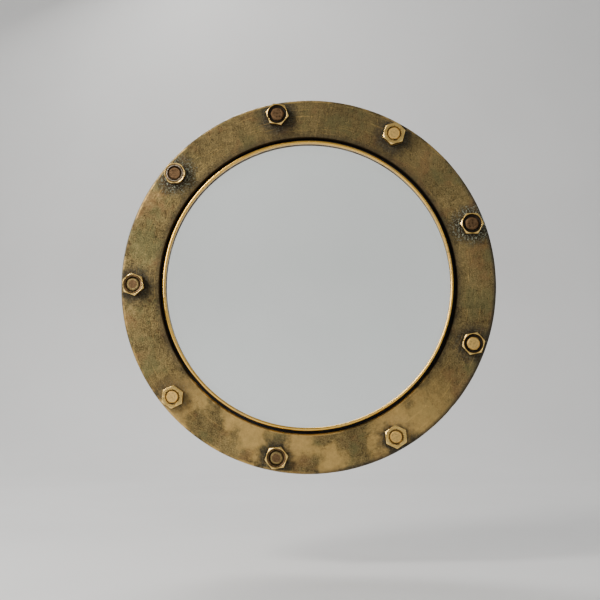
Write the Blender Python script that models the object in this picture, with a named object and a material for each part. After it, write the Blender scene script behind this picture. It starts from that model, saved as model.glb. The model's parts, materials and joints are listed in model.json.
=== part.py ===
"""Opening porthole: a flanged brass frame clamped through a cabin side, with a hinged glazed leaf.

Metres, +Z up. The porthole's axis is Y. Y = 0 is the back of the outboard flange, -Y is outboard
and +Y is inboard, where the leaf opens. Angles round the axis run from +X towards +Z.
"""

from math import cos, pi, radians, sin

import bmesh
import bpy
from mathutils import Matrix

GAP = 0.0003  # between pieces that touch
CUT_PAST = 0.002  # how far a cutter runs past the face it opens
CHAMFER = 0.001  # on the edges that hands touch

# Driving dimensions
FLANGE_R = 0.200
OPENING_R = 0.158
FLANGE_T = 0.010
GRIP = 0.020  # thickness of the cabin side that the two rings clamp
SIGHT_R = 0.1511  # clear radius inside the leaf's bead

# Ring of clamp bolts
BOLT_COUNT = 9
BOLT_CIRCLE_R = 0.185
FIRST_BOLT_ANGLE = 20
BOLT_R = 0.0068
BOLT_HOLE_R = 0.0076
HEX_FLATS = 0.022
BOLT_HEAD_T = 0.0075
NUT_T = 0.011
NUT_BORE_R = BOLT_R + GAP
THREAD_PROUD = 0.0006  # thread end beyond the nut
NUT_TURNS = (0, 15, 50, 0, 40, 25, 8, 35, 11)  # degrees that each nut happens to stand at
HEX_CHAMFER = 0.0010  # depth of the cone that cuts back a hexagon's corners

# Frame
BARREL_R = 0.164
BARREL_OUTER_R = 0.1685
BARREL_END = 0.036
BEDDING_T = 0.002
CLAMP_RING_R = 0.198
CLAMP_RING_BORE_R = 0.1705
CLAMP_RING_T = 0.007

# Leaf
BEAD_PROUD = 0.005
BEAD_OUTER_R = 0.1545
SHOULDER_Y = 0.003
LEAF_R = 0.161
SIGHT_FLARE = 0.0014  # how much wider the sight bore is by the time it reaches the glass seat
GLASS_SEAT_Y = 0.0075
GLASS_SEAT_R = 0.156
GLASS_R = 0.1585
GLASS_T = 0.008
GLAZING_T = 0.0015
RETAINER_T = 0.005
RETAINER_BORE_R = 0.1562
NOTCH_ANGLES = (45, 135, 225, 315)
NOTCH = 0.004
REBATE_R = GLASS_R + GAP
RIM_R = 0.1685
RIM_Y = (0.037, 0.044)

# Hinge, its pin upright at +X
HINGE_X = 0.184
HINGE_Y = 0.044
HINGE_PIN_R = 0.004
KNUCKLE_R = 0.009
KNUCKLE_HALF = 0.024
LUG_INNER_Z = 0.026
LUG_OUTER_Z = 0.034
LUG_R = 0.0085
LUG_ROOT_X = HINGE_X - 0.020
LUG_ROOT_Y = (0.028, 0.0335)
BUSH_R = 0.006
BUSH_FLANGE_T = 0.0014
BUSH_LENGTH = 0.014
SPLIT_PIN_R = 0.0010
SPLIT_PIN_REACH = 0.0064
SPLIT_EYE_R = 0.0022

# Dogs
DOG_ANGLES = {"upper": 120, "lower": 240}
DOG_PIVOT_R = 0.1755
DOG_PIVOT_Y = 0.0345
DOG_SWUNG_OUT = 60  # degrees at rest, clear of the leaf's fork
DOG_PIN_R = 0.003
DOG_BOLT_R = 0.00475
DOG_BOLT_TIP = 0.0305
EYE_R = 0.0062
EYE_HALF = 0.005
DOG_LUG_R = 0.0065
DOG_LUG_T = 0.006
FORK_Y = (RIM_Y[1] + GAP, 0.0493)
FORK_LIP = 0.002  # how far the tines hang down outside the rim
FORK_HALF = 0.014
FORK_ROOT_R = 0.1602
FORK_TIP = 0.009  # beyond the pivot's radius
SLOT_HALF = 0.0052
SLOT_CORNER = 0.0015
THREAD_PITCH = 0.0016
BACK_OFF_TURNS = 2
WASHER_T = 0.0018
WASHER_R = 0.009
HUB_T = 0.009
HUB_R = (0.008, 0.0066)  # at the foot and at the top
WING_HALF_T = 0.0016

# Screws that hold each fork to the leaf
SCREW_CIRCLE_R = 0.1644
SCREW_OFFSET = 0.009
SCREW_R = 0.002
SCREW_HEAD_R = 0.0038
SCREW_HEAD_T = 0.0018
SCREW_TIP_Y = 0.0385
DRIVER_SLOT = 0.0008  # its width and its depth

ROUND = 64  # segments of the large rings
SMALL = 16  # segments of the small round pieces
SCREW_STEPS = 12
HEX_STEPS = 12  # a hexagon's corners and the middles of its flats


def material(name, colour, roughness, metallic):
    made = bpy.data.materials.new(name)
    made.use_nodes = True
    shader = made.node_tree.nodes["Principled BSDF"]
    shader.inputs["Base Color"].default_value = (*colour, 1)
    shader.inputs["Roughness"].default_value = roughness
    shader.inputs["Metallic"].default_value = metallic
    return made


def clear_scene():
    for obj in list(bpy.data.objects):
        bpy.data.objects.remove(obj, do_unlink=True)


def add_object(name, shape, finish, place=None):
    """A named object from a bmesh, smooth where its faces meet at a small angle."""
    bmesh.ops.remove_doubles(shape, verts=shape.verts, dist=1e-6)
    bmesh.ops.recalc_face_normals(shape, faces=shape.faces)
    mesh = bpy.data.meshes.new(name)
    shape.to_mesh(mesh)
    shape.free()
    mesh.materials.append(finish)
    mesh.shade_smooth()
    mesh.set_sharp_from_angle(angle=radians(35))
    obj = bpy.data.objects.new(name, mesh)
    bpy.context.scene.collection.objects.link(obj)
    if place is not None:
        obj.matrix_world = place
    return obj


def spin_round(shape, outline, segments):
    """Sweeps the outline all the way round Y."""
    turn = {"axis": (0, 1, 0), "cent": (0, 0, 0), "angle": 2 * pi}
    bmesh.ops.spin(shape, geom=outline, steps=segments, use_merge=True, **turn)


def turned(profile, segments, closed=True):
    """A bmesh of the (radius, y) profile turned about Y. An open profile starts and ends on the axis."""
    shape = bmesh.new()
    points = [shape.verts.new((r, y, 0)) for r, y in profile]
    edges = [shape.edges.new(pair) for pair in zip(points, points[1:])]
    if closed:
        edges.append(shape.edges.new((points[-1], points[0])))
    spin_round(shape, points + edges, segments)
    return shape


def plate(outline, low, high):
    """A bmesh of the (x, y) outline with its faces at Z = low and Z = high."""
    shape = bmesh.new()
    face = shape.faces.new([shape.verts.new((x, y, low)) for x, y in outline])
    raised = bmesh.ops.extrude_face_region(shape, geom=[face])["geom"]
    upper = [item for item in raised if isinstance(item, bmesh.types.BMVert)]
    bmesh.ops.translate(shape, verts=upper, vec=(0, 0, high - low))
    return shape


def arc(centre, radius, start, end, steps):
    """Points of an arc, its angles in degrees."""
    turns = [radians(start + (end - start) * i / steps) for i in range(steps + 1)]
    return [(centre[0] + radius * cos(t), centre[1] + radius * sin(t)) for t in turns]


def rod(radius, low, high, segments=SMALL, bevel=0.0):
    """A bmesh of a solid rod along Y, with bevelled ends."""
    profile = [(0, low), (radius - bevel, low), (radius, low + bevel)]
    profile += [(radius, high - bevel), (radius - bevel, high), (0, high)]
    return turned(profile, segments, closed=False)


def moved(shape, place):
    bmesh.ops.transform(shape, matrix=place, verts=shape.verts)
    return shape


def upright(shape):
    """Turns a shape made along Y to stand along Z."""
    return moved(shape, Matrix.Rotation(pi / 2, 4, "X"))


def helper(name, shape, place=None):
    """A hidden shape for a Boolean."""
    obj = add_object(name, shape, HELPER, place)
    obj.hide_render = True
    obj.display_type = "WIRE"
    return obj


def combine(obj, other, operation):
    """Adds a Boolean of the helper to the object."""
    modifier = obj.modifiers.new(f"{operation.lower()} {other.name}", "BOOLEAN")
    modifier.operation = operation
    modifier.solver = "EXACT"
    modifier.object = other


def at_angle(degrees, radius, y):
    """The frame at a place on the ring: X outwards, Y along the porthole's axis, Z round the ring."""
    return Matrix.Rotation(-radians(degrees), 4, "Y") @ Matrix.Translation((radius, y, 0))


def hinge_place():
    return Matrix.Translation((HINGE_X, HINGE_Y, 0))


def bolt_angles():
    return [FIRST_BOLT_ANGLE + 360 / BOLT_COUNT * i for i in range(BOLT_COUNT)]


def merge(shapes):
    """One bmesh that holds several."""
    whole = bmesh.new()
    for shape in shapes:
        part = bpy.data.meshes.new("part")
        shape.to_mesh(part)
        shape.free()
        whole.from_mesh(part)
        bpy.data.meshes.remove(part)
    return whole


def bolt_holes(name, low, high):
    """One cutter for the ring of clamp-bolt holes."""
    cutters = []
    for angle in bolt_angles():
        cutters.append(moved(rod(BOLT_HOLE_R, low, high), at_angle(angle, BOLT_CIRCLE_R, 0)))
    return helper(name, merge(cutters))


def main_frame():
    face = -FLANGE_T
    rim = 0.0032
    chamfer = 0.0012
    profile = [(OPENING_R, 0), (OPENING_R, face + chamfer), (OPENING_R + chamfer, face)]
    profile += arc((FLANGE_R - rim, face + rim), rim, -90, 0, 5)
    profile += [(FLANGE_R, -0.0008), (FLANGE_R - 0.0008, 0), (BARREL_OUTER_R, 0)]
    profile += [(BARREL_OUTER_R, BARREL_END), (BARREL_R, BARREL_END), (BARREL_R, 0)]
    frame = add_object("main_frame", turned(profile, ROUND), AGED_BRASS)
    combine(frame, bolt_holes("flange_holes", face - CUT_PAST, CUT_PAST), "DIFFERENCE")
    lugs = helper("frame_lugs", merge(hinge_lugs() + dog_lugs()))
    combine(lugs, helper("lug_bores", merge(lug_bores())), "DIFFERENCE")
    combine(frame, lugs, "UNION")


def hinge_lugs():
    root_low, root_high = LUG_ROOT_Y
    outline = [(LUG_ROOT_X, root_low), (LUG_ROOT_X, root_high), (LUG_ROOT_X + 0.0035, root_high)]
    outline += arc((HINGE_X, HINGE_Y), LUG_R, 146, -40, 10)
    outline += [(HINGE_X - 0.002, root_low)]
    return [
        plate(outline, LUG_INNER_Z, LUG_OUTER_Z),
        plate(outline, -LUG_OUTER_Z, -LUG_INNER_Z),
    ]


def dog_lugs():
    """Two lugs astride each swing bolt's eye, their roots inside the barrel's wall."""
    foot = -DOG_LUG_R
    root = BARREL_R + 0.0015 - DOG_PIVOT_R
    outline = [(root, foot), (root, 0.001), (-0.95 * DOG_LUG_R, 0.002)]
    outline += arc((0, 0), DOG_LUG_R, 140, -60, 10)
    outline += [(0.001, foot)]
    inner = EYE_HALF + GAP
    lugs = []
    for angle in DOG_ANGLES.values():
        place = at_angle(angle, DOG_PIVOT_R, DOG_PIVOT_Y)
        for low in (inner, -inner - DOG_LUG_T):
            lugs.append(moved(plate(outline, low, low + DOG_LUG_T), place))
    return lugs


def lug_bores():
    hinge_reach = LUG_OUTER_Z + CUT_PAST
    bores = [moved(upright(rod(HINGE_PIN_R + GAP, -hinge_reach, hinge_reach)), hinge_place())]
    reach = EYE_HALF + DOG_LUG_T + CUT_PAST
    for angle in DOG_ANGLES.values():
        bore = upright(rod(DOG_PIN_R + GAP, -reach, reach))
        bores.append(moved(bore, at_angle(angle, DOG_PIVOT_R, DOG_PIVOT_Y)))
    return bores


def clamp_ring():
    low, high = GRIP, GRIP + CLAMP_RING_T
    profile = [(CLAMP_RING_BORE_R, low), (CLAMP_RING_R, low), (CLAMP_RING_R, high - CHAMFER)]
    profile += [(CLAMP_RING_R - CHAMFER, high), (CLAMP_RING_BORE_R + CHAMFER, high)]
    profile += [(CLAMP_RING_BORE_R, high - CHAMFER)]
    ring = add_object("clamp_ring", turned(profile, ROUND), AGED_BRASS)
    combine(ring, bolt_holes("clamp_ring_holes", low - CUT_PAST, high + CUT_PAST), "DIFFERENCE")


def bedding_gasket():
    inner, outer = BARREL_OUTER_R + GAP, FLANGE_R - 0.002
    profile = [(inner, GAP), (outer, GAP), (outer, BEDDING_T), (inner, BEDDING_T)]
    gasket = add_object("bedding_gasket", turned(profile, ROUND), BLACK_RUBBER)
    holes = bolt_holes("bedding_holes", -CUT_PAST, BEDDING_T + CUT_PAST)
    combine(gasket, holes, "DIFFERENCE")


def hexagon(flats, low, high, turn, chamfer_low, chamfer_high):
    """A bmesh of a hexagon along Y whose corners are cut back to a cone at either face."""
    flat = flats / 2
    corner = flat / cos(pi / 6)
    levels = [
        (low, chamfer_low),
        (low + HEX_CHAMFER, False),
        (high - HEX_CHAMFER, False),
        (high, chamfer_high),
    ]
    shape = bmesh.new()
    rings = []
    for y, chamfered in levels:
        ring = []
        for i in range(HEX_STEPS):
            radius = corner if i % 2 == 0 else flat
            if chamfered:
                radius = flat - GAP / 2
            around = 2 * pi * i / HEX_STEPS + radians(turn)
            ring.append(shape.verts.new((radius * cos(around), y, radius * sin(around))))
        rings.append(ring)
    for first, second in zip(rings, rings[1:]):
        for i in range(HEX_STEPS):
            following = (i + 1) % HEX_STEPS
            shape.faces.new((first[i], first[following], second[following], second[i]))
    shape.faces.new(rings[0])
    shape.faces.new(rings[-1])
    return shape


def clamp_fasteners():
    """The bolts have their heads inboard; the nuts stand outboard, each at its own turn."""
    head_low = GRIP + CLAMP_RING_T + GAP
    nut_high = -FLANGE_T - GAP
    nut_low = nut_high - NUT_T
    for i, angle in enumerate(bolt_angles()):
        place = at_angle(angle, BOLT_CIRCLE_R, 0)
        head = hexagon(HEX_FLATS, head_low, head_low + BOLT_HEAD_T, 0, False, True)
        bolt = add_object(f"clamp_bolt_{i + 1}", head, AGED_BRASS, place)
        shank = rod(BOLT_R, nut_low - THREAD_PROUD, head_low + BOLT_HEAD_T / 2, bevel=0.0008)
        combine(bolt, helper(f"shank_{i + 1}", shank, place), "UNION")
        upright_place = Matrix.Translation(place.translation)
        body = hexagon(HEX_FLATS, nut_low, nut_high, NUT_TURNS[i], True, False)
        nut = add_object(f"clamp_nut_{i + 1}", body, AGED_BRASS, upright_place)
        bore = rod(NUT_BORE_R, nut_low - CUT_PAST, nut_high + CUT_PAST)
        combine(nut, helper(f"nut_bore_{i + 1}", bore, upright_place), "DIFFERENCE")


def leaf_frame():
    """The bead outboard, the glass seat in the middle and the rim that closes on the barrel's end."""
    nose = (BEAD_OUTER_R - SIGHT_R) / 2
    nose_y = -FLANGE_T - BEAD_PROUD + nose
    sight_end_r = SIGHT_R + SIGHT_FLARE
    rim_low, rim_high = RIM_Y
    profile = arc((SIGHT_R + nose, nose_y), nose, 0, -180, 6)
    profile += [(sight_end_r, GLASS_SEAT_Y - (GLASS_SEAT_R - sight_end_r))]
    profile += [(GLASS_SEAT_R, GLASS_SEAT_Y), (REBATE_R, GLASS_SEAT_Y), (REBATE_R, rim_high)]
    profile += [(RIM_R - CHAMFER, rim_high), (RIM_R, rim_high - CHAMFER), (RIM_R, rim_low)]
    profile += [(LEAF_R, rim_low), (LEAF_R, SHOULDER_Y), (BEAD_OUTER_R, SHOULDER_Y)]
    leaf = add_object("leaf_frame", turned(profile, ROUND), POLISHED_BRASS)
    combine(leaf, helper("leaf_arm", hinge_arm()), "UNION")
    combine(leaf, helper("leaf_knuckle", knuckle()), "UNION")
    cutters = [knuckle_bore()]
    for angle in DOG_ANGLES.values():
        cutters += screw_holes(angle, SCREW_TIP_Y - 0.0005, RIM_Y[1] + CUT_PAST)
    combine(leaf, helper("leaf_cutters", merge(cutters)), "DIFFERENCE")


def hinge_arm():
    """The plate that joins the knuckle to the leaf's rim."""
    root = REBATE_R + 0.003
    low, high = RIM_Y[0] + 0.0002, HINGE_Y + 0.008
    half = KNUCKLE_HALF - 0.001
    outline = [(root, low), (HINGE_X, low), (HINGE_X, high), (HINGE_X - 0.006, high)]
    outline += [(root, RIM_Y[1] - 0.0002)]
    return plate(outline, -half, half)


def knuckle():
    return moved(upright(rod(KNUCKLE_R, -KNUCKLE_HALF, KNUCKLE_HALF, SMALL, 0.0008)), hinge_place())


def knuckle_bore():
    reach = KNUCKLE_HALF + CUT_PAST
    return moved(upright(rod(BUSH_R + GAP, -reach, reach)), hinge_place())


def screw_places(angle):
    """Where a fork's two screws stand, side by side on the leaf's rim."""
    middle = at_angle(angle, SCREW_CIRCLE_R, 0)
    return [middle @ Matrix.Translation((0, 0, side * SCREW_OFFSET)) for side in (-1, 1)]


def screw_holes(angle, low, high):
    """Plain holes in the leaf's rim."""
    return [moved(rod(SCREW_R + GAP, low, high, SCREW_STEPS), place) for place in screw_places(angle)]


def countersunk_holes(angle, low):
    """Holes through the fork, widened at the top for the screws' heads."""
    bore, mouth = SCREW_R + GAP, SCREW_HEAD_R + GAP
    top = FORK_Y[1]
    profile = [(0, low), (bore, low), (bore, top - SCREW_HEAD_T), (mouth, top)]
    profile += [(mouth, top + CUT_PAST), (0, top + CUT_PAST)]
    return [moved(turned(profile, SCREW_STEPS, closed=False), place) for place in screw_places(angle)]


def fork_screw(name, place):
    """A countersunk screw, its slotted head just below the fork's face."""
    top = FORK_Y[1] - 0.0001
    edge = 0.0004
    profile = [(0, SCREW_TIP_Y), (SCREW_R - edge, SCREW_TIP_Y), (SCREW_R, SCREW_TIP_Y + edge)]
    profile += [(SCREW_R, top - SCREW_HEAD_T), (SCREW_HEAD_R, top), (0, top)]
    screw = add_object(name, turned(profile, SCREW_STEPS, closed=False), POLISHED_BRASS, place)
    slot = bmesh.new()
    bmesh.ops.create_cube(slot, size=1)
    bmesh.ops.scale(slot, verts=slot.verts, vec=(2.2 * SCREW_HEAD_R, 2 * DRIVER_SLOT, DRIVER_SLOT))
    slot_place = place @ Matrix.Translation((0, top, 0)) @ Matrix.Rotation(radians(35), 4, "Y")
    combine(screw, helper(f"{name}_slot", slot, slot_place), "DIFFERENCE")


def dog_fork(name, angle):
    """Two tines on a foot that two countersunk screws hold to the leaf's rim."""
    foot, high = FORK_Y[0] - DOG_PIVOT_Y, FORK_Y[1] - DOG_PIVOT_Y
    lip = foot - FORK_LIP
    root = FORK_ROOT_R - DOG_PIVOT_R
    step = RIM_R + GAP - DOG_PIVOT_R
    outline = [(root, foot), (step, foot), (step, lip), (FORK_TIP, lip), (FORK_TIP, high - CHAMFER)]
    outline += [(FORK_TIP - CHAMFER, high), (root + CHAMFER, high), (root, high - CHAMFER)]
    place = at_angle(angle, DOG_PIVOT_R, DOG_PIVOT_Y)
    fork = add_object(f"{name}_dog_fork", plate(outline, -FORK_HALF, FORK_HALF), POLISHED_BRASS, place)
    low_cut = FORK_Y[0] - FORK_LIP - CUT_PAST
    slot = fork_slot(low_cut, FORK_Y[1] + CUT_PAST)
    cutters = [moved(slot, at_angle(angle, DOG_PIVOT_R, 0))] + countersunk_holes(angle, low_cut)
    combine(fork, helper(f"{name}_fork_cutters", merge(cutters)), "DIFFERENCE")
    for number, place in enumerate(screw_places(angle), 1):
        fork_screw(f"{name}_fork_screw_{number}", place)


def fork_slot(low, high):
    """The slot is open outwards and its inner corners are cut across."""
    corner = SLOT_HALF - SLOT_CORNER
    outline = [(FORK_TIP + CUT_PAST, SLOT_HALF), (-corner, SLOT_HALF), (-SLOT_HALF, corner)]
    outline += [(-SLOT_HALF, -corner), (-corner, -SLOT_HALF), (FORK_TIP + CUT_PAST, -SLOT_HALF)]
    return moved(plate(outline, low, high), Matrix.Rotation(-pi / 2, 4, "X"))


def glazing():
    """The pane between its gasket and the notched ring that holds it in the leaf."""
    glass_low = GLASS_SEAT_Y + GAP + GLAZING_T + GAP
    gasket = [(GLASS_SEAT_R + GAP, GLASS_SEAT_Y + GAP), (GLASS_R, GLASS_SEAT_Y + GAP)]
    gasket += [(GLASS_R, glass_low - GAP), (GLASS_SEAT_R + GAP, glass_low - GAP)]
    add_object("glazing_gasket", turned(gasket, ROUND), BLACK_RUBBER)
    pane = rod(GLASS_R, glass_low, glass_low + GLASS_T, ROUND, 0.0006)
    add_object("glass_pane", pane, CLEAR_GLASS)
    low = glass_low + GLASS_T + GAP
    high = low + RETAINER_T
    ring = [(RETAINER_BORE_R, low), (GLASS_R, low), (GLASS_R, high)]
    ring += [(RETAINER_BORE_R + CHAMFER, high), (RETAINER_BORE_R, high - CHAMFER)]
    retainer = add_object("glass_retaining_ring", turned(ring, ROUND), POLISHED_BRASS)
    notches = []
    for angle in NOTCH_ANGLES:
        notch = bmesh.new()
        bmesh.ops.create_cube(notch, size=NOTCH)
        notches.append(moved(notch, at_angle(angle, RETAINER_BORE_R - NOTCH / 4, high)))
    combine(retainer, helper("spanner_notches", merge(notches)), "DIFFERENCE")


def leaf_seal():
    low, high = GAP, SHOULDER_Y - GAP
    inner, outer = BEAD_OUTER_R + GAP, LEAF_R - 0.0005
    lip = 0.0008
    profile = [(inner, low + lip), (inner + lip, low), (outer - lip, low), (outer, low + lip)]
    profile += [(outer, high), (inner, high)]
    add_object("leaf_seal", turned(profile, ROUND), BLACK_RUBBER)


def hinge_pin():
    """A headed pin from above, kept by a split pin below the lower lug."""
    head_low = LUG_OUTER_Z + GAP
    head_r = HINGE_PIN_R + 0.003
    end = -LUG_OUTER_Z - 0.008
    profile = [(0, end), (HINGE_PIN_R - CHAMFER, end), (HINGE_PIN_R, end + CHAMFER)]
    profile += [(HINGE_PIN_R, head_low), (head_r, head_low), (head_r, head_low + 0.002)]
    profile += [(head_r - 0.002, head_low + 0.0035), (0, head_low + 0.0042)]
    shape = upright(turned(profile, SMALL, closed=False))
    pin = add_object("hinge_pin", shape, POLISHED_BRASS, hinge_place())
    across = hinge_place() @ Matrix.Translation((0, 0, end + 0.0035)) @ Matrix.Rotation(pi / 2, 4, "Z")
    reach = 2 * HINGE_PIN_R
    hole = rod(SPLIT_PIN_R + GAP, -reach, reach, SCREW_STEPS)
    combine(pin, helper("split_pin_hole", hole, across), "DIFFERENCE")
    split_pin(across)


def split_pin(place):
    """Straight legs and a round eye."""
    legs = rod(SPLIT_PIN_R, -SPLIT_PIN_REACH, SPLIT_PIN_REACH, SCREW_STEPS)
    pin = add_object("hinge_split_pin", legs, POLISHED_BRASS, place)
    wire = SPLIT_PIN_R - 0.0001
    eye = bmesh.new()
    points = [eye.verts.new((x, y, 0)) for x, y in arc((SPLIT_EYE_R, 0), wire, 0, 315, 7)]
    edges = [eye.edges.new((points[i - 1], points[i])) for i in range(len(points))]
    spin_round(eye, points + edges, SMALL)
    eye_y = -SPLIT_PIN_REACH - SPLIT_EYE_R + wire / 4
    eye_place = place @ Matrix.Translation((0, eye_y, 0)) @ Matrix.Rotation(pi / 2, 4, "X")
    combine(pin, helper("split_pin_eye", eye, eye_place), "UNION")


def hinge_bushes():
    """A flanged bush in each end of the leaf's knuckle."""
    end = LUG_INNER_Z - GAP
    flange = end - BUSH_FLANGE_T
    inner = HINGE_PIN_R + GAP
    profile = [(inner, end), (BUSH_R + 0.0018, end), (BUSH_R + 0.0018, flange), (BUSH_R, flange)]
    profile += [(BUSH_R, end - BUSH_LENGTH), (inner, end - BUSH_LENGTH)]
    for name, way in (("hinge_bush_upper", 1), ("hinge_bush_lower", -1)):
        bush = upright(turned([(r, way * y) for r, y in profile], SMALL))
        add_object(name, bush, POLISHED_BRASS, hinge_place())


def dog(name, angle):
    """A swing bolt on its pivot pin, swung out of the fork, with a washer and a wing nut backed off."""
    pivot = at_angle(angle, DOG_PIVOT_R, DOG_PIVOT_Y)
    swung = pivot @ Matrix.Rotation(-radians(DOG_SWUNG_OUT), 4, "Z")
    add_object(f"{name}_dog_pivot_pin", upright(dog_pin()), POLISHED_BRASS, pivot)
    eye = upright(rod(EYE_R, -EYE_HALF, EYE_HALF, SMALL, 0.0006))
    bolt = add_object(f"{name}_dog_bolt", eye, AGED_BRASS, swung)
    shank = rod(DOG_BOLT_R, EYE_R - 0.0017, DOG_BOLT_TIP, SMALL, 0.0008)
    combine(bolt, helper(f"{name}_dog_shank", shank, swung), "UNION")
    bore = upright(rod(DOG_PIN_R + GAP, -EYE_HALF - CUT_PAST, EYE_HALF + CUT_PAST))
    combine(bolt, helper(f"{name}_dog_bore", bore, swung), "DIFFERENCE")
    seat = FORK_Y[1] - DOG_PIVOT_Y + GAP + BACK_OFF_TURNS * THREAD_PITCH
    bore_r = DOG_BOLT_R + GAP
    top = seat + WASHER_T
    washer = [(bore_r, seat), (WASHER_R, seat), (WASHER_R, top), (bore_r, top)]
    add_object(f"{name}_dog_washer", turned(washer, SMALL), POLISHED_BRASS, swung)
    wing_nut(f"{name}_dog_wing_nut", top + GAP, swung)


def dog_pin():
    """A plain pin with both ends peened over."""
    end = EYE_HALF + GAP + DOG_LUG_T + GAP
    head_r = DOG_PIN_R + 0.0012
    profile = [(0, -end - 0.0014), (DOG_PIN_R, -end - 0.0012), (head_r, -end - 0.0004), (head_r, -end)]
    profile += [(DOG_PIN_R, -end), (DOG_PIN_R, end), (head_r, end), (head_r, end + 0.0004)]
    profile += [(DOG_PIN_R, end + 0.0012), (0, end + 0.0014)]
    return turned(profile, SMALL, closed=False)


def wing_nut(name, seat, place):
    bore_r = DOG_BOLT_R + GAP
    top = seat + HUB_T
    foot_r, top_r = HUB_R
    profile = [(bore_r, seat), (foot_r, seat), (foot_r, seat + 0.002), (top_r, top), (bore_r, top)]
    nut = add_object(name, turned(profile, SMALL), POLISHED_BRASS, place)
    outline = [(top_r - 0.0004, 0.0008), (foot_r + 0.001, 0.001)]
    outline += arc((foot_r + 0.006, 0.0062), 0.0048, -60, 130, 8)
    outline += [(top_r - 0.0004, 0.0075)]
    for label, way in (("near", 1), ("far", -1)):
        wing_place = place @ Matrix.Translation((0, seat, 0)) @ Matrix.Rotation(way * pi / 2, 4, "Y")
        wing = plate(outline, -WING_HALF_T, WING_HALF_T)
        combine(nut, helper(f"{name}_{label}", wing, wing_place), "UNION")


clear_scene()
AGED_BRASS = material("aged_brass", (0.30, 0.22, 0.10), 0.45, 1.0)
POLISHED_BRASS = material("polished_brass", (0.75, 0.56, 0.26), 0.22, 1.0)
BLACK_RUBBER = material("black_rubber", (0.015, 0.015, 0.015), 0.7, 0.0)
CLEAR_GLASS = material("clear_glass", (0.75, 0.85, 0.85), 0.05, 0.0)
HELPER = material("helper", (0.5, 0.5, 0.5), 0.5, 0.0)
main_frame()
clamp_ring()
bedding_gasket()
clamp_fasteners()
leaf_frame()
glazing()
leaf_seal()
hinge_pin()
hinge_bushes()
for dog_name, dog_angle in DOG_ANGLES.items():
    dog(dog_name, dog_angle)
    dog_fork(dog_name, dog_angle)
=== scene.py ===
"""Opening porthole, dressed: weathered brass casting, worn hexagon nuts, polished leaf and clear glass.

Metres, +Z up. The porthole's axis is Y, outboard is -Y, and angles round it run from +X towards +Z.
"""

import json
from math import ceil, cos, hypot, pi, radians, sin, tan

import bmesh
import bpy
from mathutils import Matrix, Vector, noise


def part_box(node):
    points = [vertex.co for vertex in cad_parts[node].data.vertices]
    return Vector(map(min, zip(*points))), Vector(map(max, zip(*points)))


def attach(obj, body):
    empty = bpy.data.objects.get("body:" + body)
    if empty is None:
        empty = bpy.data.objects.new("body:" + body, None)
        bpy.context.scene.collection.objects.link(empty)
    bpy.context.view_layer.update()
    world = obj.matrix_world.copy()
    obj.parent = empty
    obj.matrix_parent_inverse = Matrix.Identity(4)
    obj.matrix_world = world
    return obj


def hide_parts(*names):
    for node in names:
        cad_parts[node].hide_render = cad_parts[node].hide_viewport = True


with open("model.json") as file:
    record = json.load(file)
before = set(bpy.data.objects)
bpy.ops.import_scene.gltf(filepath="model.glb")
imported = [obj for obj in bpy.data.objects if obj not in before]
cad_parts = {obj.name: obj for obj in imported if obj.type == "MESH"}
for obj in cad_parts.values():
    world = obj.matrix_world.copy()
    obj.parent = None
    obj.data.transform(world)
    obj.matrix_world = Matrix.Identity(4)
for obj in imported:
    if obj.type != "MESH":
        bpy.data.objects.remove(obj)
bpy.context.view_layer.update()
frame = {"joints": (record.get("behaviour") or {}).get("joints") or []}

# Places read from the CAD model
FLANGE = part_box("main_frame")
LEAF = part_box("leaf_frame")
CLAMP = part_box("clamp_ring")
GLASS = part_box("glass_pane")
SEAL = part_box("leaf_seal")
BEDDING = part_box("bedding_gasket")
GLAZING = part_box("glazing_gasket")
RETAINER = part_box("glass_retaining_ring")
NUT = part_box("clamp_nut_1")
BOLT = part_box("clamp_bolt_1")
JOINTS = {joint["name"]: joint for joint in frame["joints"]}
HINGE = Vector(JOINTS["leaf_hinge"]["pos_m"])

MM = 0.001
TINY = 1e-7
SHRINK = 0.02 * MM  # keeps every surface inside the CAD box
FLANGE_R = FLANGE[1].x - SHRINK
OPENING_R = 158 * MM
FLANGE_FACE = -10 * MM
BARREL_R = 164 * MM
BARREL_OUTER_R = 168.5 * MM
BARREL_END = 36 * MM
CLAMP_BORE_R = 170.5 * MM
BEDDING_BORE_R = 168.8 * MM
BOLT_CIRCLE_R = 185 * MM
FIRST_BOLT_ANGLE = 20  # degrees
BOLT_SPACING = 40
BOLT_R = 6.8 * MM
BOLT_HOLE_R = 7.6 * MM
BOLT_PITCH = 2 * MM
PLAIN_START = 4 * MM  # where the clamp bolts' threads give way to plain shanks
HEX_FLATS = 22 * MM
GAP = 0.3 * MM
PAST = 2 * MM  # how far a cutter runs past the face it opens
BEAD_R = 154.5 * MM
SIGHT_R = 151.1 * MM
LEAF_R = 161 * MM
REBATE_R = GLASS[1].x + GAP
SEAT_R = 156 * MM
SEAT_Y = GLAZING[0].y - GAP
RIM_R = 168.5 * MM
SHOULDER_Y = 3 * MM
RING_BORE_R = 156.2 * MM
RIM_LOW, RIM_HIGH = 37 * MM, 44 * MM
HINGE_PIN_R = 4 * MM
KNUCKLE_R = 9 * MM
KNUCKLE_HALF = 24 * MM
BUSH_R = 6 * MM
BUSH_LENGTH = 14 * MM
FORK_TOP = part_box("upper_dog_fork")[1].y
FORK_ROOT_R = 160.2 * MM
FORK_HALF = 14 * MM
SCREW_CIRCLE_R = 164.4 * MM
SCREW_OFFSET = 9 * MM
SCREW_R = 2 * MM
SCREW_TIP_Y = 38.5 * MM
SCREW_HEAD_T = 1.8 * MM
DOG_ANGLES = {"upper": 120, "lower": 240}
DOG_PIVOT_R = 175.5 * MM
DOG_PIVOT_Y = 34.5 * MM
DOG_SWUNG_OUT = 60  # degrees at rest
DOG_PIN_R = 3 * MM
DOG_BOLT_R = 4.75 * MM
DOG_BOLT_PITCH = 1.6 * MM
EYE_R = 6.2 * MM
EYE_HALF = 5 * MM
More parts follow.
